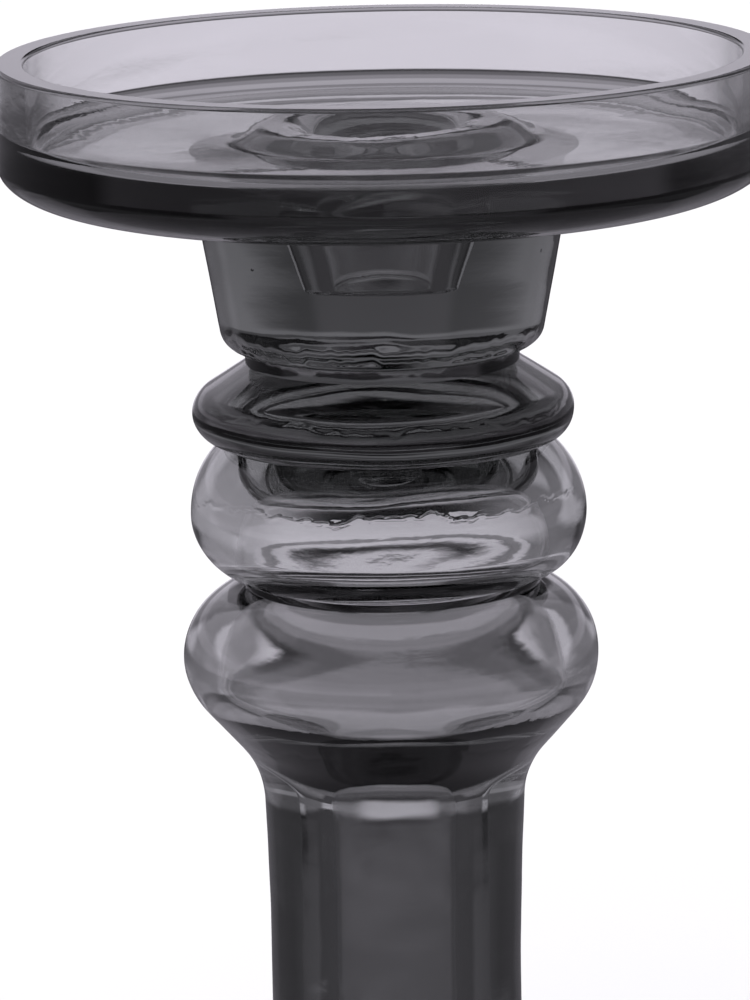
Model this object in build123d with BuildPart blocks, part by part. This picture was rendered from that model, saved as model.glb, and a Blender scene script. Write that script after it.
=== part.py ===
"""Tinted glass candlestick: a dish for a pillar candle with a taper socket in its floor,
carried on a collar, two rings, a bulb, a hollow stem and a bell foot.
Millimetres, +Z up, origin at the centre of the foot's underside."""
from build123d import *
from math import acos, cos, degrees, radians, sin
import os

# Overall
total_height = 250.0

# Dish: flat floor, upright wall with a flat lip, wide elliptical bottom corner
dish_radius = 62.9
dish_wall = 4.8
dish_depth = 13.45
dish_base = 9.45
dish_corner_width = 14.0
dish_corner_height = 6.5
dish_floor_round = 3.0
dish_lip_round = 0.7

# Low boss round the socket's mouth, blending out into the floor
boss_height = 2.6
boss_top_radius = 19.0
boss_foot_radius = 26.5

# Candle socket, its depth taken from the dish floor: flared mouth, straight bore for a 22 mm taper
# through the dish, then a cone in the collar that ends blind in a small flat
socket_radius = 11.4
socket_depth = 22.7
socket_mouth_width = 5.4
socket_mouth_height = 4.4
socket_end_radius = 8.2
socket_end_round = 1.2

# Collar: solid cone with a rounded lower corner and a short throat under it
collar_height = 27.4
collar_top_radius = 30.25
collar_low_radius = 26.0
collar_corner_round = 3.8
collar_join_round = 1.5
throat_height = 2.2
throat_radius = 22.5

# Upper ring: conical shoulder, then round
upper_ring_height = 13.0
upper_ring_radius = 31.3
upper_ring_drop = 8.1
upper_ring_shoulder = 58.0
upper_ring_round = 4.6
upper_ring_under_round = 4.8
ring_joint_radius = 26.9

# Middle ring
middle_ring_height = 23.6
middle_ring_radius = 32.66
middle_ring_drop = 12.25
middle_ring_round = 15.5
middle_ring_under_round = 10.9
groove_radius = 24.5

# Bulb: round, then a straight taper that sweeps into the stem
bulb_radius = 34.26
bulb_drop = 12.55
bulb_round = 12.4
bulb_under_round = 12.8
bulb_taper = 41.0
bulb_sweep_round = 15.5

# Stem: slightly waisted
stem_end_radius = 21.6
stem_waist_radius = 20.85
stem_waist_level = 95.45
stem_end_slope = 2.4

# Foot: a bell with an upright rim; the bell leaves the stem steeply and lands on the brim
foot_radius = 59.0
foot_brim_level = 15.0
foot_brim_round = 7.0
foot_rim_round = 2.5
foot_wall = 7.0
bell_neck_length = 26.0
bell_neck_spread = 1.2
bell_brim_length = 18.0
bell_brim_rise = 6.0

# Hollow: a flat-topped dome in the middle ring, a neck at the groove, widest in the bulb, then the
# stem's bore. Its outline is upright at each of these radii; drops and rises are from the joint
# named beside them.
hollow_top_gap = 3.3             # under the upper ring
hollow_dome_radius = 25.3
hollow_dome_drop = 15.9          # under the upper ring
hollow_dome_flatness = 0.65
hollow_dome_shoulder = 2.9
hollow_neck_radius = 20.0
hollow_neck_rise = 2.5           # over the groove
hollow_bulb_radius = 28.2
hollow_bulb_drop = 14.6          # under the groove
stem_bore_radius = 10.2
stem_bore_top = 128.4
bore_bottom = 60.0
bell_wall_curve = 22.0

# Levels above the foot's underside
dish_floor = total_height - dish_depth
dish_underside = dish_floor - dish_base
lip_level = total_height - dish_lip_round
boss_level = dish_floor + boss_height
collar_low = dish_underside - collar_height
upper_ring_low = collar_low - upper_ring_height
middle_ring_low = upper_ring_low - middle_ring_height
upper_ring_mid = collar_low - upper_ring_drop
middle_ring_mid = upper_ring_low - middle_ring_drop
bulb_mid = middle_ring_low - bulb_drop
socket_end = dish_floor - socket_depth


def turn_for(round_radius, fall):
    """Degrees that a round turns through while its surface falls back by the given amount."""
    return degrees(acos(1 - fall / round_radius))


def upright_curve(start, end, leave, arrive):
    """A curve down from start to end that is vertical at both, held there over the two given lengths."""
    return Bezier(start, (start[0], start[1] - leave), (end[0], end[1] + arrive), end)


# The space that the candle takes, cut from the dish and the collar
with BuildPart() as socket_space:
    with BuildSketch(Plane.XZ):
        with BuildLine():
            blind_end = FilletPolyline(
                (0, socket_end),
                (socket_end_radius, socket_end),
                (socket_radius, dish_underside),
                radius=socket_end_round,
            )
            mouth = EllipticalCenterArc(
                (socket_radius + socket_mouth_width, boss_level - socket_mouth_height),
                socket_mouth_width,
                socket_mouth_height,
                start_angle=180,
                arc_size=-90,
            )
            Line(blind_end @ 1, mouth @ 0)
            Polyline(
                mouth @ 1,
                ((mouth @ 1).X, total_height),
                (0, total_height),
                (0, socket_end),
            )
        make_face()
    revolve(axis=Axis.Z)

with BuildPart() as dish:
    with BuildSketch(Plane.XZ):
        with BuildLine():
            corner = EllipticalCenterArc(
                (dish_radius - dish_corner_width, dish_underside + dish_corner_height),
                dish_corner_width,
                dish_corner_height,
                start_angle=-90,
                arc_size=90,
            )
            inner_radius = dish_radius - dish_wall
            lip_outside = CenterArc((dish_radius - dish_lip_round, lip_level), dish_lip_round, 0, 90)
            lip_inside = CenterArc((inner_radius + dish_lip_round, lip_level), dish_lip_round, 90, 90)
            Line(corner @ 1, lip_outside @ 0)
            Line(lip_outside @ 1, lip_inside @ 0)
            inner_corner = CenterArc(
                (inner_radius - dish_floor_round, dish_floor + dish_floor_round),
                dish_floor_round,
                0,
                -90,
            )
            Line(lip_inside @ 1, inner_corner @ 0)
            boss_reach = (boss_foot_radius - boss_top_radius) / 2
            boss_side = Bezier(
                (boss_foot_radius, dish_floor),
                (boss_foot_radius - boss_reach, dish_floor),
                (boss_top_radius + boss_reach, boss_level),
                (boss_top_radius, boss_level),
            )
            Line(inner_corner @ 1, boss_side @ 0)
            Polyline(boss_side @ 1, (0, boss_level), (0, dish_underside), corner @ 0)
        make_face()
    revolve(axis=Axis.Z)
    add(socket_space.part, mode=Mode.SUBTRACT)
dish.part.label = "dish"

with BuildPart() as collar:
    with BuildSketch(Plane.XZ):
        with BuildLine():
            throat_top = collar_low + throat_height
            side = Line(
                (collar_low_radius, throat_top),
                (collar_top_radius, dish_underside - collar_join_round),
            )
            join = TangentArc(
                side @ 1,
                (collar_top_radius + collar_join_round, dish_underside),
                tangent=side % 1,
            )
            Polyline(
                join @ 1,
                (0, dish_underside),
                (0, collar_low),
                (throat_radius, collar_low),
                (throat_radius, throat_top),
                side @ 0,
            )
        make_face()
    revolve(axis=Axis.Z)
    corner = collar.edges().filter_by_position(Axis.Z, throat_top, throat_top)
    fillet(corner.sort_by(SortBy.LENGTH)[-1], collar_corner_round)
    add(socket_space.part, mode=Mode.SUBTRACT)
collar.part.label = "socket_collar"

with BuildPart() as upper_ring:
    with BuildSketch(Plane.XZ):
        with BuildLine():
            widest = (upper_ring_radius, upper_ring_mid)
            top = JernArc(widest, (0, 1), upper_ring_round, upper_ring_shoulder)
            turn = turn_for(upper_ring_under_round, upper_ring_radius - ring_joint_radius)
            under = JernArc(widest, (0, -1), upper_ring_under_round, -turn)
            Polyline(
                top @ 1,
                (throat_radius, collar_low),
                (0, collar_low),
                (0, upper_ring_low),
                (ring_joint_radius, upper_ring_low),
                under @ 1,
            )
        make_face()
    revolve(axis=Axis.Z)
upper_ring.part.label = "upper_ring"

# The hollow shared by the middle ring, the bulb, the stem and the foot
with BuildPart() as hollow:
    with BuildSketch(Plane.XZ):
        with BuildLine():
            hollow_top = upper_ring_low - hollow_top_gap
            dome_level = upper_ring_low - hollow_dome_drop
            neck_level = middle_ring_low + hollow_neck_rise
            belly_level = middle_ring_low - hollow_bulb_drop
            neck_fall = dome_level - neck_level
            belly_fall = neck_level - belly_level
            dome = Bezier(
                (0, hollow_top),
                (hollow_dome_flatness * hollow_dome_radius, hollow_top),
                (hollow_dome_radius, hollow_top - hollow_dome_shoulder),
                (hollow_dome_radius, dome_level),
            )
            neck = upright_curve(
                (hollow_dome_radius, dome_level),
                (hollow_neck_radius, neck_level),
                neck_fall / 2,
                neck_fall / 3,
            )
            belly = upright_curve(
                (hollow_neck_radius, neck_level),
                (hollow_bulb_radius, belly_level),
                belly_fall * 2 / 5,
                belly_fall / 2,
            )
            taper_fall = belly_level - stem_bore_top
            taper = upright_curve(
                (hollow_bulb_radius, belly_level),
                (stem_bore_radius, stem_bore_top),
                taper_fall * 2 / 5,
                taper_fall / 2,
            )
            bore = Line(taper @ 1, (stem_bore_radius, bore_bottom))
            bell_mouth = foot_radius - foot_wall
            bell = Bezier(
                bore @ 1,
                (stem_bore_radius, bore_bottom - bell_neck_length),
                (bell_mouth - bell_wall_curve, foot_brim_level),
                (bell_mouth, 0),
            )
            Polyline(bell @ 1, (0, 0), dome @ 0)
        make_face()
    revolve(axis=Axis.Z)

with BuildPart() as middle_ring:
    with BuildSketch(Plane.XZ):
        with BuildLine():
            widest = (middle_ring_radius, middle_ring_mid)
            turn = turn_for(middle_ring_round, middle_ring_radius - ring_joint_radius)
            top = JernArc(widest, (0, 1), middle_ring_round, turn)
            turn = turn_for(middle_ring_under_round, middle_ring_radius - groove_radius)
            under = JernArc(widest, (0, -1), middle_ring_under_round, -turn)
            Polyline(
                top @ 1,
                (ring_joint_radius, upper_ring_low),
                (0, upper_ring_low),
                (0, middle_ring_low),
                (groove_radius, middle_ring_low),
                under @ 1,
            )
        make_face()
    revolve(axis=Axis.Z)
    add(hollow.part, mode=Mode.SUBTRACT)
middle_ring.part.label = "middle_ring"

with BuildPart() as bulb:
    with BuildSketch(Plane.XZ):
        with BuildLine():
            widest = (bulb_radius, bulb_mid)
            turn = turn_for(bulb_round, bulb_radius - groove_radius)
            top = JernArc(widest, (0, 1), bulb_round, turn)
            under = JernArc(widest, (0, -1), bulb_under_round, -bulb_taper)
            sweep_turn = bulb_taper - stem_end_slope
            sweep_width = bulb_sweep_round * (cos(radians(stem_end_slope)) - cos(radians(bulb_taper)))
            taper_length = ((under @ 1).X - stem_end_radius - sweep_width) / sin(radians(bulb_taper))
            cone = PolarLine(under @ 1, taper_length, direction=under % 1)
            sweep = JernArc(cone @ 1, cone % 1, bulb_sweep_round, sweep_turn)
            bulb_low = (sweep @ 1).Y
            Polyline(
                top @ 1,
                (groove_radius, middle_ring_low),
                (0, middle_ring_low),
                (0, bulb_low),
                sweep @ 1,
            )
        make_face()
    revolve(axis=Axis.Z)
    add(hollow.part, mode=Mode.SUBTRACT)
bulb.part.label = "bulb"

foot_height = 2 * stem_waist_level - bulb_low
with BuildPart() as stem:
    with BuildSketch(Plane.XZ):
        with BuildLine():
            side = ThreePointArc(
                (stem_end_radius, bulb_low),
                (stem_waist_radius, stem_waist_level),
                (stem_end_radius, foot_height),
            )
            Polyline(side @ 1, (0, foot_height), (0, bulb_low), side @ 0)
        make_face()
    revolve(axis=Axis.Z)
    add(hollow.part, mode=Mode.SUBTRACT)
stem.part.label = "stem"

with BuildPart() as foot:
    with BuildSketch(Plane.XZ):
        with BuildLine():
            sweep = Bezier(
                (stem_end_radius, foot_height),
                (stem_end_radius + bell_neck_spread, foot_height - bell_neck_length),
                (foot_radius - foot_brim_round - bell_brim_length, foot_brim_level + bell_brim_rise),
                (foot_radius - foot_brim_round, foot_brim_level),
            )
            brim = TangentArc(sweep @ 1, (foot_radius, foot_brim_level - foot_brim_round), tangent=sweep % 1)
            side = Line(brim @ 1, (foot_radius, foot_rim_round))
            rim = JernArc(side @ 1, (0, -1), foot_rim_round, -90)
            Polyline(rim @ 1, (0, 0), (0, foot_height), sweep @ 0)
        make_face()
    revolve(axis=Axis.Z)
    add(hollow.part, mode=Mode.SUBTRACT)
foot.part.label = "foot"

os.makedirs("parts", exist_ok=True)
for piece in (dish, collar, upper_ring, middle_ring, bulb, stem, foot):
    export_step(piece.part, f"parts/{piece.part.label}.step")
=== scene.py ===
import math

import bpy
import numpy as np
from mathutils import Matrix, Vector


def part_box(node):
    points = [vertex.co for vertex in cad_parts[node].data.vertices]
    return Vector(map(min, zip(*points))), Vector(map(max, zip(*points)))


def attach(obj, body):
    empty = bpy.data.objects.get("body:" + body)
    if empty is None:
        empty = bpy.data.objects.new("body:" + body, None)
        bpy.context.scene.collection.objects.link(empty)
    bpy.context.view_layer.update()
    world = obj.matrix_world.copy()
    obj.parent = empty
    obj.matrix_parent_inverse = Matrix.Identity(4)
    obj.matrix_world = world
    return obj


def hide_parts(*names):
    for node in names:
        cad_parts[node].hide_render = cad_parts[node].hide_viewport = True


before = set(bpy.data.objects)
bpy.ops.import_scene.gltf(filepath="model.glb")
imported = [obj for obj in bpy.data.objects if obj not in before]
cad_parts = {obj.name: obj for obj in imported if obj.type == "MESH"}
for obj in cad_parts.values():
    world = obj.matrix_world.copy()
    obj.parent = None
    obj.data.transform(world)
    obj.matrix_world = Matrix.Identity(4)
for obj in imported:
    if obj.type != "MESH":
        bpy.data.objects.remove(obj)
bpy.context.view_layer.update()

MM = 0.001
TURN = 2 * math.pi
PLACES = 6                 # decimals of a metre that tell two points apart
SAME = 1e-6                # nearer levels are one level
ON_AXIS = 1e-7             # a smaller radius is the axis
TURNS = 320                # steps round the axis
JOINT_GAP = 0.003 * MM     # keeps the two faces of a joint apart
JOINT_INSET = 0.15 * MM    # width over which a joint face falls back by that gap
CORNER = math.radians(24)  # a sharper turn in the outline is a real corner
FAR_LONGER = 3             # an edge this many times its neighbour keeps its own direction where they meet
LONGEST_STEP = 1.6 * MM
SHORT_STEP = 0.4 * MM      # along a crease
LARGEST_TURN = math.radians(3)
PIECES = ("dish", "socket_collar", "upper_ring", "middle_ring", "bulb", "stem", "foot")


# ---------------------------------------------------------------- outline of the whole glass

def key(radius, height):
    """A point of the outline, rounded so that pieces that meet there share it."""
    return (round(max(radius, 0.0), PLACES), round(height, PLACES))


def node_outline(node):
    """Edges of a turned CAD node in the half plane y = 0, x >= 0, and its flat faces as (height, lo, hi)."""
    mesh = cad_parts[node].data
    seam = {v.index: key(v.co.x, v.co.z) for v in mesh.vertices
            if abs(v.co.y) < SAME and v.co.x > -SAME}
    edges = set()
    for edge in mesh.edges:
        a, b = edge.vertices
        if a in seam and b in seam and abs(seam[a][1] - seam[b][1]) > SAME:
            edges.add(frozenset((seam[a], seam[b])))
    uses = {}
    for point in (p for e in edges for p in e):
        uses[point] = uses.get(point, 0) + 1
    levels = {}
    for (radius, height) in (p for p, n in uses.items() if n == 1):
        levels.setdefault(height, []).append(radius)
    flats = []
    for height, radii in levels.items():
        radii = sorted(radii if len(radii) % 2 == 0 else radii + [0.0])
        flats += [(height, lo, hi) for lo, hi in zip(radii[::2], radii[1::2])]
    return edges, flats


def whole_skin():
    """One chain of points over the whole skin, and the node of each edge. Shared faces are left out."""
    owner, flats = {}, []
    for node in PIECES:
        edges, faces = node_outline(node)
        for edge in edges:
            owner.setdefault(edge, []).append(node)
        flats += [(node, *face) for face in faces]
    for node, height, lo, hi in flats:
        cuts = {lo, hi}
        for _, level, a, b in flats:
            if level == height:
                cuts |= {r for r in (a, b) if lo < r < hi}
        cuts = sorted(cuts)
        for a, b in zip(cuts, cuts[1:]):
            owner.setdefault(frozenset((key(a, height), key(b, height))), []).append(node)
    links = {}
    for edge, nodes in owner.items():
        if len(nodes) == 1:
            a, b = edge
            links.setdefault(a, []).append((b, nodes[0]))
            links.setdefault(b, []).append((a, nodes[0]))
    here = max((p for p, near in links.items() if len(near) == 1), key=lambda p: p[1])
    chain, nodes, last = [here], [], None
    while True:
        onward = [(p, n) for p, n in links[here] if p != last]
        if not onward:
            return np.array(chain), nodes
        last, (here, node) = here, onward[0]
        chain.append(here)
        nodes.append(node)


def unit(v):
    """Vectors along the last axis, scaled to length 1."""
    return v / np.linalg.norm(v, axis=-1, keepdims=True)


def fine_skin():
    """The chain resampled through smooth curves: rows of (radius, height), outward normals and nodes."""
    points, nodes = whole_skin()
    steps = np.diff(points, axis=0)
    lengths = np.linalg.norm(steps, axis=1)
    ways = steps / lengths[:, None]
    cross = ways[:-1, 0] * ways[1:, 1] - ways[:-1, 1] * ways[1:, 0]
    turns = np.arctan2(cross, (ways[:-1] * ways[1:]).sum(1))
    into, out = ways.copy(), ways.copy()        # tangents at the start and at the end of each edge
    for i in range(1, len(points) - 1):
        if abs(turns[i - 1]) > CORNER:
            continue
        before, after = lengths[i - 1], lengths[i]
        if before > FAR_LONGER * after:
            tangent = ways[i - 1]
        elif after > FAR_LONGER * before:
            tangent = ways[i]
        else:
            tangent = unit(after * ways[i - 1] + before * ways[i])
        out[i - 1], into[i] = tangent, tangent
    rows, tangents, tags = [], [], []
    for i, node in enumerate(nodes):
        bend = abs(math.acos(max(-1.0, min(1.0, float(into[i] @ out[i])))))
        middle = (points[i] + points[i + 1]) / 2
        longest = SHORT_STEP if near_crease(middle, lengths[i]) else LONGEST_STEP
        count = max(1, math.ceil(lengths[i] / longest), math.ceil(bend / LARGEST_TURN))
        t = np.linspace(0, 1, count + 1)[:, None]
        a, b, m0, m1 = points[i], points[i + 1], into[i] * lengths[i], out[i] * lengths[i]
        where = ((2 * t**3 - 3 * t**2 + 1) * a + (t**3 - 2 * t**2 + t) * m0
                 + (3 * t**2 - 2 * t**3) * b + (t**3 - t**2) * m1)
        way = unit((6 * t**2 - 6 * t) * a + (3 * t**2 - 4 * t + 1) * m0
                   + (6 * t - 6 * t**2) * b + (3 * t**2 - 2 * t) * m1)
        joined = i > 0 and node == nodes[i - 1] and abs(turns[i - 1]) <= CORNER
        first = 1 if joined else 0
        for k in range(first, count + 1):
            rows.append(where[k])
            tangents.append(way[k])
            tags.append(node)
    rows, tangents = np.array(rows), np.array(tangents)
    normals = np.stack([-tangents[:, 1], tangents[:, 0]], 1)
    return rows, normals, tags


# ---------------------------------------------------------------- unevenness of the hot-worked glass

# The parts sit a little beside one another: (level, sideways) in mm, measured on the outline of the real one.
LEAN = ((95.0, 0.05), (112.0, 0.23), (127.0, 0.35), (138.0, 0.62), (150.4, 0.32), (157.0, 0.4), (164.5, 0.7),
        (174.3, 0.34), (186.6, 0.05), (191.5, -0.24), (201.5, -0.18), (225.5, 0.0), (227.5, 0.8))

# Swells of the surface: (waves round, level of the peak, reach up and down, height, turn) in mm and turns.
SWELLS = ((3, 208.0, 14.0, 0.10, 0.10), (7, 212.0, 16.0, 0.05, 0.30), (5, 191.0, 7.0, 0.20, 0.55),
          (11, 191.0, 6.0, 0.08, 0.20), (4, 174.0, 12.0, 0.10, 0.75), (3, 149.0, 22.0, 0.12, 0.40),
          (8, 140.0, 14.0, 0.06, 0.15), (5, 105.0, 45.0, 0.08, 0.65), (2, 20.0, 50.0, 0.15, 0.05))
SWELL_TWIST = 0.21         # turns the waves with the radius, in radians per mm
SWELL_FROM = 5.0           # mm from the axis over which swells, drags and creases grow

# Swells up and down: (waves round, level of the peak, reach, height, turn) in mm and turns.
RIPPLES = ((3, 183.5, 4.0, 0.05, 0.20), (4, 238.0, 3.0, 0.04, 0.35), (2, 214.0, 3.0, 0.04, 0.50))
RIPPLE_TWIST = 0.17
RIPPLE_FROM = 12.0

# Faint drag marks of the tools: (waves round, pitch up and down, height, turn) in mm and turns.
DRAGS = ((2, 9.7, 0.006, 0.15), (3, 6.1, 0.004, 0.62), (5, 14.3, 0.008, 0.37))
DRAG_TWIST = 0.13
DRAG_WANDER = 2.4          # radians that a mark wanders up and down on its way round
DRAG_SLANT = 0.5           # radians per mm of radius
DRAG_FROM = 6.0            # mm from the axis where the marks begin, and over which they grow

# Chill creases left by the mould, in mm and turns:
# (least and greatest radius, level, width, depth, raggedness, tilt, turn).
CREASES = (((22.0, 30.0), 203.6, 1.15, 0.85, 0.25, 0.1, 0.10),
           ((27.0, 33.5), 178.9, 0.35, 0.07, 0.50, 0.4, 0.45),
           ((27.0, 33.5), 193.8, 0.40, 0.06, 0.40, 0.6, 0.80),
           ((24.0, 35.0), 138.6, 0.45, 0.03, 0.60, 0.9, 0.30))
RAGGED = (7, 19, 31, 47, 71)    # waves round that make a crease ragged
CREASE_REACH = 3                # widths over which a crease dies away
CREASE_EDGE = 1.0               # mm over which it fades at its least and greatest radius
# A crease is there in front and behind and dies away at the sides. In sines of the angle round the axis:
SIDE = 0.15                     # where the sides are
SIDE_CLEAR = 0.25               # no crease this near
SIDE_FADE = 0.5                 # full depth this much farther

NEAR_AXIS = 1.0                 # mm; the least radius that a push outward is shared over
PROBE = 0.02 * MM               # step along the surface that finds a normal
PROBE_SKEW = 0.3                # keeps the step's direction defined where the normal points up


def ease(t):
    """0 up to t = 0 and 1 from t = 1, smooth in between."""
    t = np.clip(t, 0.0, 1.0)
    return t * t * (3 - 2 * t)


def near_crease(point, length):
    """True for a stretch of outline on which a crease lies."""
    radius, level = point / MM
    half = length / MM / 2
    return any(low < radius < high and abs(level - at) < CREASE_REACH * width + ragged + tilt + half
               for (low, high), at, width, _, ragged, tilt, _ in CREASES)


def hump(z, level, reach):
    """1 at a level, dying away above and below it."""
    return np.exp(-((z - level) / reach) ** 2)


def crease_depth(radius, angle, z, crease):
    """How deep one crease cuts at each point."""
    (low, high), level, width, depth, ragged, tilt, shift = crease
    line = level + tilt * np.sin(angle + TURN * shift)
    for k, waves in enumerate(RAGGED):
        line = line + ragged / (1 + k) * np.sin(waves * angle + TURN * shift * (k + 2))
    ends = ease((radius - low) / CREASE_EDGE) * ease((high - radius) / CREASE_EDGE)
    sides = ease((np.abs(np.sin(angle) - SIDE) - SIDE_CLEAR) / SIDE_FADE)
    return depth * (ends * sides) * hump(z, line, width)


def warp(p):
    """Moves points of the true figure a little, as hot-worked glass sits. p has rows of metres."""
    x, y, z = (p / MM).T
    radius = np.hypot(x, y)
    angle = np.arctan2(y, x)
    swell = np.zeros(len(p))
    for waves, level, reach, height, shift in SWELLS:
        wave = np.sin(waves * angle + TURN * shift + SWELL_TWIST * radius)
        swell += height * hump(z, level, reach) * wave
    for waves, pitch, height, shift in DRAGS:
        wander = np.sin(waves * angle + TURN * shift + DRAG_TWIST * radius)
        mark = np.sin(TURN * (z / pitch + shift) + DRAG_WANDER * wander + DRAG_SLANT * radius)
        swell += height * mark * ease((radius - DRAG_FROM) / DRAG_FROM)
    for crease in CREASES:
        swell -= crease_depth(radius, angle, z, crease)
    swell *= ease(radius / SWELL_FROM)
    lift = np.zeros(len(p))
    for waves, level, reach, height, shift in RIPPLES:
        wave = np.sin(waves * angle + TURN * shift + RIPPLE_TWIST * radius)
        lift += height * hump(z, level, reach) * wave
    lift *= ease(radius / RIPPLE_FROM)
    q = p.copy()
    q[:, 2] += lift * MM
    grow = 1 + swell / np.maximum(radius, NEAR_AXIS)
    q[:, 0] = x * grow * MM
    q[:, 1] = y * grow * MM
    for (low, before), (high, after) in zip(LEAN, LEAN[1:]):
        q[:, 0] += MM * (after - before) * ease((z - low) / (high - low))
    return q


def warped_normals(p, n):
    """The normals after the warp, from two short steps along the surface."""
    side = unit(np.cross(n, np.array([0.0, 0.0, 1.0]) + PROBE_SKEW * np.roll(n, 1, axis=-1)))
    along = np.cross(n, side)
    a = warp(p + PROBE * side) - warp(p - PROBE * side)
    b = warp(p + PROBE * along) - warp(p - PROBE * along)
    m = unit(np.cross(a, b))
    return np.where((m * n).sum(-1, keepdims=True) < 0, -m, m)


# ---------------------------------------------------------------- pieces

# Seed bubbles under the surface: (piece, centre, half sizes) in mm.
BUBBLES = (("socket_collar", (-20.5, -19.3, 218.3), (0.32, 0.32, 0.24)),
           ("socket_collar", (25.5, -13.2, 219.4), (0.20, 0.20, 0.34)))
BUBBLE_TURNS = 20
BUBBLE_ROWS = 12


class Solid:
    """Collects rings of a turned piece and makes its mesh with exact normals."""

    def __init__(self, name):
        self.name = name
        self.points, self.faces, self.normals, self.joint = [], [], [], []
        self.size = 0

    def ring(self, radius, height):
        """Adds a ring, or one point on the axis, and returns its vertex indices."""
        count = TURNS if radius > ON_AXIS else 1
        angle = np.arange(count) * 2 * math.pi / TURNS
        level = np.full(count, height)
        self.points.append(np.stack([radius * np.cos(angle), radius * np.sin(angle), level], 1))
        first = self.size
        self.size += count
        return first + np.arange(count)

    def band(self, a, b, normal_a, normal_b, joint):
        """Faces between two rings; the normals are (radial, up) pairs."""
        here = np.arange(TURNS)
        there = (here + 1) % TURNS
        corners = [(b, normal_b, here), (b, normal_b, there), (a, normal_a, there), (a, normal_a, here)]
        if len(a) == 1:
            corners.pop()
        if len(b) == 1:
            corners.pop(0)
        self.faces.append(np.stack([ring[turn % len(ring)] for ring, _, turn in corners], 1))
        angle = here * 2 * math.pi / TURNS
        self.normals.append(np.stack([
            np.stack([n[0] * np.cos(angle[turn]), n[0] * np.sin(angle[turn]), np.full(TURNS, n[1])], 1)
            for _, n, turn in corners], 1).reshape(-1, 3))
        self.joint.append(np.full(TURNS, joint, np.float32))

    def bubble(self, centre, radii):
        """A closed shell of air inside the glass, so it faces inward."""
        across = np.arange(BUBBLE_TURNS) * 2 * math.pi / BUBBLE_TURNS
        down = np.arange(1, BUBBLE_ROWS) * math.pi / BUBBLE_ROWS
        ways = [(0.0, 0.0, 1.0)] + [(math.sin(v) * math.cos(u), math.sin(v) * math.sin(u), math.cos(v))
                                    for v in down for u in across] + [(0.0, 0.0, -1.0)]
        ways = np.array(ways)
        self.points.append(MM * (np.array(centre) + ways * np.array(radii)))
        here = np.arange(BUBBLE_TURNS)
        there = (here + 1) % BUBBLE_TURNS
        rows = [np.zeros(BUBBLE_TURNS, int)]
        rows += [1 + k * BUBBLE_TURNS + here for k in range(BUBBLE_ROWS - 1)]
        rows += [np.full(BUBBLE_TURNS, len(ways) - 1)]
        outward = unit(ways / np.array(radii))
        for a, b in zip(rows, rows[1:]):
            corners = [a, a[there], b[there], b]
            if a[0] == a[1]:
                corners.pop(1)
            if b[0] == b[1]:
                corners.pop()
            face = np.stack(corners, 1)
            self.faces.append(self.size + face)
            self.normals.append(-outward[face].reshape(-1, 3))
            self.joint.append(np.zeros(BUBBLE_TURNS, np.float32))
        self.size += len(ways)

    def build(self):
        """The finished Blender object: warped, with its normals and the mark of its joint faces."""
        p = np.concatenate(self.points)
        loops = np.concatenate([f.ravel() for f in self.faces])
        sizes = np.concatenate([np.full(len(f), f.shape[1]) for f in self.faces])
        n = warped_normals(p[loops], np.concatenate(self.normals))
        mesh = bpy.data.meshes.new(self.name)
        mesh.vertices.add(len(p))
        mesh.vertices.foreach_set("co", warp(p).ravel())
        mesh.loops.add(len(loops))
        mesh.loops.foreach_set("vertex_index", loops.astype(np.int32))
        mesh.polygons.add(len(sizes))
        mesh.polygons.foreach_set("loop_start", (np.cumsum(sizes) - sizes).astype(np.int32))
        mesh.update(calc_edges=True)
        mesh.shade_smooth()
        mesh.normals_split_custom_set(n.tolist())
        attribute = mesh.attributes.new("joint", "FLOAT", "FACE")
        attribute.data.foreach_set("value", np.concatenate(self.joint))
        piece = bpy.data.objects.new(self.name, mesh)
        bpy.context.scene.collection.objects.link(piece)
        return piece


def joint_face(solid, start, end, up):
    """A flat joint face between two (ring, radius, height), a gap back. A ring of None is the axis."""
    normal = (0.0, up)
    height = (start if start[0] is not None else end)[2] - up * JOINT_GAP
    outward = 1 if end[1] > start[1] else -1
    rings = []
    if start[0] is not None:
        rings += [start[0], solid.ring(start[1] + outward * JOINT_INSET, height)]
    else:
        rings.append(solid.ring(0.0, height))
    if end[0] is not None:
        rings += [solid.ring(end[1] - outward * JOINT_INSET, height), end[0]]
    else:
        rings.append(solid.ring(0.0, height))
    for a, b in zip(rings, rings[1:]):
        solid.band(a, b, normal, normal, 1.0)


def runs_of(node, tags):
    """The stretches of outline that belong to a node, as lists of row numbers."""
    runs, here = [], None
    for i, tag in enumerate(tags):
        if tag != node:
            here = None
            continue
        if here is None:
            here = []
            runs.append(here)
        here.append(i)
    return runs


def lay_skin(solid, run, rows, normals):
    """The bands of one stretch. Returns its two ends as (ring, radius, height)."""
    rings, before = {}, None
    for i in run:
        spot = key(*rows[i])
        if spot not in rings:
            rings[spot] = solid.ring(*rows[i])
        if before is not None and rings[spot] is not before:
            solid.band(before, rings[spot], normals[i - 1], normals[i], 0.0)
        before = rings[spot]
    return [(rings[key(*rows[run[0]])], *rows[run[0]]), (before, *rows[run[-1]])]


def close_joints(solid, ends, middle):
    """Joint faces from each stretch's end to the next one's start, over the axis if their levels differ."""
    axis = (None, 0.0, 0.0)
    for j in range(1, len(ends), 2):
        start, end = ends[j], ends[(j + 1) % len(ends)]
        if abs(start[2] - end[2]) < SAME:
            gaps = [(start, end)]
        else:
            gaps = [pair for pair in ((start, axis), (axis, end)) if max(pair[0][1], pair[1][1]) > ON_AXIS]
        for a, b in gaps:
            height = a[2] if a[0] is not None else b[2]
            joint_face(solid, a, b, 1.0 if height > middle else -1.0)


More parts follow.
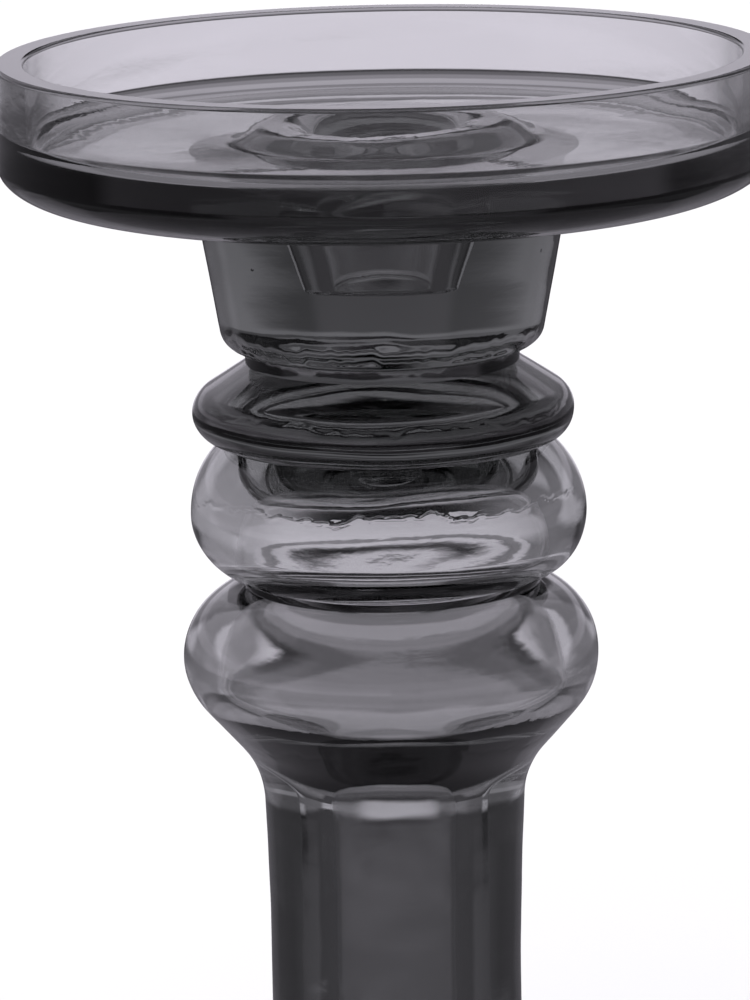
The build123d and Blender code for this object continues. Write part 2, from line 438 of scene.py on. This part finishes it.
def make_pieces():
    rows, normals, tags = fine_skin()
    made = {}
    for node in PIECES:
        solid = Solid(node + "_glass")
        runs = runs_of(node, tags)
        ends = [end for run in runs for end in lay_skin(solid, run, rows, normals)]
        heights = [rows[i][1] for run in runs for i in run]
        close_joints(solid, ends, (max(heights) + min(heights)) / 2)
        for owner, centre, radii in BUBBLES:
            if owner == node:
                solid.bubble(centre, radii)
        made[node] = solid.build()
    return made


pieces = make_pieces()
for node, piece in pieces.items():
    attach(piece, "root")
    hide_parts(node)


# ---------------------------------------------------------------- glass

def nodes_of(tree):
    """A short way to add a node and wire it: add(kind, {input: value or output}, **settings)."""
    def add(kind, wires=None, **settings):
        node = tree.nodes.new(kind)
        for name, value in settings.items():
            setattr(node, name, value)
        for name, value in (wires or {}).items():
            if isinstance(value, bpy.types.NodeSocket):
                tree.links.new(value, node.inputs[name])
            else:
                node.inputs[name].default_value = value
        return node
    return add


GLASS_IOR = 1.5
ABSORPTION = (38.0, 37.1, 37.9)     # per metre: the grey loses its violet where it is thick
PALEST = 0.9                        # keeps the absorbing colour off black; it cancels against the density
SMEAR = {"Scale": 38.0, "Detail": 5.0, "Distortion": 0.6}    # faint wiping marks
SMEAR_ROUGHNESS = {"From Min": 0.52, "From Max": 0.75, "To Min": 0.0, "To Max": 0.035}
PEEL = {"Scale": 160.0, "Detail": 3.0, "Distortion": 0.4}    # the low ripple of a fire-polished surface
PEEL_SQUASH = (1.0, 1.0, 2.4)       # the ripple is flatter than it is wide
PEEL_HEIGHT = 0.000012              # metres


def smoke_glass():
    """Polished tinted glass. Joint faces inside it bend nothing and stay perfectly smooth."""
    material = bpy.data.materials.new("tinted_glass")
    material.use_nodes = True
    tree = material.node_tree
    tree.nodes.clear()
    add = nodes_of(tree)
    joint = add("ShaderNodeAttribute", attribute_name="joint")
    outer = add("ShaderNodeMath", {0: 1.0, 1: joint.outputs["Fac"]}, operation="SUBTRACT")
    ior = add("ShaderNodeMath", {0: outer.outputs[0], 1: GLASS_IOR - 1.0, 2: 1.0}, operation="MULTIPLY_ADD")
    place = add("ShaderNodeTexCoord")
    smear = add("ShaderNodeTexNoise", {"Vector": place.outputs["Object"], **SMEAR})
    smudge = add("ShaderNodeMapRange", {"Value": smear.outputs[0], **SMEAR_ROUGHNESS})
    roughness = add("ShaderNodeMath", {0: smudge.outputs[0], 1: outer.outputs[0]}, operation="MULTIPLY")
    squashed = add("ShaderNodeMapping", {0: place.outputs["Object"], "Scale": PEEL_SQUASH})
    peel = add("ShaderNodeTexNoise", {"Vector": squashed.outputs[0], **PEEL})
    relief = add("ShaderNodeBump", {"Strength": outer.outputs[0], "Distance": PEEL_HEIGHT,
                                    "Height": peel.outputs[0]})
    glass = add("ShaderNodeBsdfPrincipled", {
        "Base Color": (1, 1, 1, 1), "Roughness": roughness.outputs[0], "Transmission Weight": 1.0,
        "IOR": ior.outputs[0], "Normal": relief.outputs[0]})
    most = max(ABSORPTION)
    inside = add("ShaderNodeVolumeAbsorption", {
        "Color": (*(1 - PALEST * c / most for c in ABSORPTION), 1), "Density": most / PALEST})
    add("ShaderNodeOutputMaterial", {"Surface": glass.outputs[0], "Volume": inside.outputs[0]})
    return material


glass = smoke_glass()
for piece in pieces.values():
    piece.data.materials.append(glass)


# ---------------------------------------------------------------- studio

CAMERA_BACK = 0.9336
CAMERA_ASIDE = -0.00195
CAMERA_RISE = 0.12635              # over the lip's top
CAMERA_PITCH = math.radians(12.11)
CAMERA_ROLL = math.radians(1.17)
LENS = 208.8
SENSOR_WIDTH = 36.0
FARTHEST = 50.0

# Lit areas of the studio as the glass sees them: (name, from, to, lowest, highest, brightness), in degrees.
# Straight behind the object is 0, the left is negative, and the camera stands at 180. The brightness of most
# areas came from a least-squares fit to a photograph, merged and rounded, and the rest were set one by one.
# The names say where an area lies; what really stood there isn't known.
AREAS = (
    ("table under the foot", -180, 180, -90, -40, 0.28),
    ("table behind", -55, 55, -27, -19, 0.30),
    ("table close behind, left", -55, -9, -40, -27, 0.38),
    ("table close behind", -9, 9, -40, -27, 0.46),
    ("table close behind, right", 9, 55, -40, -27, 0.36),
    ("far edge of the table", -40, 40, -19, -13, 0.155),
    ("gap behind the table", -14, 14, -13, -9.6, 0.03),
    ("floor by the camera, left", -180, -130, -40, -19, 0.40),
    ("floor by the camera, right", 130, 180, -40, -19, 0.40),
    ("low left", -180, -90, -13, -8, 0.32),
    ("low right", 90, 180, -13, -8, 0.50),
    ("sill of the backdrop", -14, 14, -9.4, -4, 0.80),
    ("sill, left", -55, -14, -8, 3, 0.32),
    ("sill, right", 14, 55, -8, 3, 0.26),
    ("left wall, foot", -90, -55, -8, -3, 0.89),
    ("left wall", -90, -55, -3, 3, 0.66),
    ("left of the camera, foot", -180, -90, -8, -3, 1.20),
    ("left of the camera", -180, -90, -3, 3, 0.77),
    ("right wall", 55, 90, -8, 3, 0.38),
    ("right of the camera, foot", 90, 180, -8, -3, 0.68),
    ("right of the camera", 90, 180, -3, 3, 0.43),
    ("middle of the backdrop", -14, 14, -3, 3, 0.33),
    ("backdrop", -14, 14, 3, 10, 0.85),
    ("backdrop, left", -55, -14, 3, 10, 0.75),
    ("backdrop, right", 14, 55, 3, 10, 0.75),
    ("left window", -130, -55, 3, 10, 0.92),
    ("right window", 55, 130, 3, 10, 0.56),
    ("behind the camera, left", -180, -130, 3, 10, 0.47),
    ("behind the camera, right", 130, 180, 3, 10, 0.35),
    ("top edge of the backdrop", -9, 9, 10, 20, 0.0),
    ("upper left", -130, -9, 10, 20, 0.55),
    ("upper right", 9, 90, 10, 20, 0.30),
    ("overhead lamp", -28, 28, 20, 35, 0.68),
    ("overhead left", -130, -28, 20, 35, 0.52),
    ("overhead right", 28, 90, 20, 35, 0.28),
    ("lamp's hood", -9, 9, 35, 60, 0.0),
    ("high left", -90, -9, 35, 60, 0.30),
    ("high right", 9, 90, 35, 60, 0.20),
    ("ceiling", -180, 180, 60, 90, 0.41),
)
SOFT_EDGE = 3.5                     # degrees over which an area fades up and down
SOFT_SIDE = 12.0                    # and sideways
DIM = 0.10                          # everything between the areas
LIGHT_TINT = (0.995, 0.948, 1.067)  # the light leans to violet


def studio_world():
    """White where the camera looks past the object; the studio with its lit areas where the glass looks."""
    world = bpy.data.worlds.new("studio")
    bpy.context.scene.world = world
    world.use_nodes = True
    world.cycles.sampling_method = "NONE"
    tree = world.node_tree
    tree.nodes.clear()
    add = nodes_of(tree)

    def compute(operation, *values):
        return add("ShaderNodeMath", dict(enumerate(values)), operation=operation).outputs[0]

    known = {}

    def rises(value, start, soft):
        """0 below start and 1 above it, over a soft edge centred on it."""
        if (value, start) not in known:
            edge = {"Value": value, "From Min": start - soft / 2, "From Max": start + soft / 2}
            known[value, start] = add("ShaderNodeMapRange", edge, interpolation_type="SMOOTHSTEP").outputs[0]
        return known[value, start]

    def within(value, low, high, limit, soft):
        """1 between low and high. At the limit of the range there is no edge."""
        if low <= -limit and high >= limit:
            return 1.0
        if low <= -limit:
            return compute("SUBTRACT", 1.0, rises(value, high, soft))
        if high >= limit:
            return rises(value, low, soft)
        return compute("SUBTRACT", rises(value, low, soft), rises(value, high, soft))

    place = add("ShaderNodeTexCoord")
    level = add("ShaderNodeVectorRotate", {"Vector": place.outputs["Camera"], "Angle": CAMERA_PITCH},
                rotation_type="X_AXIS")
    axes = add("ShaderNodeSeparateXYZ", {0: level.outputs[0]})
    upward = compute("DEGREES", compute("ARCSINE", axes.outputs["Y"]))
    round_about = compute("DEGREES", compute("ARCTAN2", axes.outputs["X"], axes.outputs["Z"]))
    light = DIM
    for _, left, right, low, high, brightness in AREAS:
        part = compute("MULTIPLY", within(upward, low, high, 90, SOFT_EDGE),
                       within(round_about, left, right, 180, SOFT_SIDE))
        light = compute("MULTIPLY_ADD", part, brightness - DIM, light)
    studio = add("ShaderNodeBackground", {"Color": (*LIGHT_TINT, 1), "Strength": light})
    seen = add("ShaderNodeBackground", {"Color": (1, 1, 1, 1), "Strength": 1.0})
    path = add("ShaderNodeLightPath")
    pick = add("ShaderNodeMixShader", {0: path.outputs["Is Camera Ray"], 1: studio.outputs[0],
                                       2: seen.outputs[0]})
    add("ShaderNodeOutputWorld", {0: pick.outputs[0]})


studio_world()


# ---------------------------------------------------------------- floor, lamp and camera

FLOOR_HALF = 6.0
FLOOR_GREY = 0.86
FLOOR_SPREAD = 0.01                 # lighter and darker fibres in the paper
FIBRE = {"Scale": 900.0, "Detail": 4.0}
LAMP_STRENGTH = 3.5
LAMP_SPREAD = math.radians(75)
LAMP_TILT = (math.radians(28), math.radians(-22), 0.0)


def pale_floor():
    """A plain pale floor that only the camera sees; the glass sees the studio."""
    mesh = bpy.data.meshes.new("floor")
    h = FLOOR_HALF
    mesh.from_pydata([(-h, -h, 0), (h, -h, 0), (h, h, 0), (-h, h, 0)], [], [(0, 1, 2, 3)])
    floor = bpy.data.objects.new("floor", mesh)
    bpy.context.scene.collection.objects.link(floor)
    floor.visible_glossy = False
    floor.visible_transmission = False
    floor.visible_diffuse = False
    material = bpy.data.materials.new("pale_paper")
    material.use_nodes = True
    tree = material.node_tree
    tree.nodes.clear()
    add = nodes_of(tree)
    place = add("ShaderNodeTexCoord")
    fibre = add("ShaderNodeTexNoise", {"Vector": place.outputs["Object"], **FIBRE})
    tone = add("ShaderNodeMapRange", {"Value": fibre.outputs[0], "To Min": FLOOR_GREY - FLOOR_SPREAD,
                                      "To Max": FLOOR_GREY + FLOOR_SPREAD})
    paper = add("ShaderNodeBsdfDiffuse", {"Color": tone.outputs[0]})
    add("ShaderNodeOutputMaterial", {"Surface": paper.outputs[0]})
    mesh.materials.append(material)


def soft_lamp():
    """A broad lamp that gives the floor its soft shadow. The glass takes its light from the studio."""
    lamp = bpy.data.objects.new("lamp", bpy.data.lights.new("lamp", "SUN"))
    bpy.context.scene.collection.objects.link(lamp)
    lamp.data.energy = LAMP_STRENGTH
    lamp.data.angle = LAMP_SPREAD
    lamp.rotation_euler = LAMP_TILT
    lamp.visible_glossy = False
    lamp.visible_transmission = False


def add_camera():
    """A long lens at some distance, over the lip and looking slightly down."""
    camera = bpy.data.objects.new("camera", bpy.data.cameras.new("camera"))
    bpy.context.scene.collection.objects.link(camera)
    camera.data.sensor_width = SENSOR_WIDTH
    camera.data.lens = LENS
    camera.data.clip_end = FARTHEST
    camera.location = (CAMERA_ASIDE, -CAMERA_BACK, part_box("dish")[1].z + CAMERA_RISE)
    camera.rotation_mode = "QUATERNION"
    aim = Matrix.Rotation(math.pi / 2 - CAMERA_PITCH, 3, "X") @ Matrix.Rotation(-CAMERA_ROLL, 3, "Z")
    camera.rotation_quaternion = aim.to_quaternion()
    bpy.context.scene.camera = camera


pale_floor()
soft_lamp()
add_camera()

GLASS_BOUNCES = 40                  # light crosses many walls of glass on its way through
OTHER_BOUNCES = 24
scene = bpy.context.scene
scene.view_settings.view_transform = "Standard"
scene.view_settings.look = "None"
scene.cycles.max_bounces = GLASS_BOUNCES
scene.cycles.transmission_bounces = GLASS_BOUNCES
scene.cycles.glossy_bounces = OTHER_BOUNCES
scene.cycles.transparent_max_bounces = OTHER_BOUNCES
scene.cycles.use_denoising = True
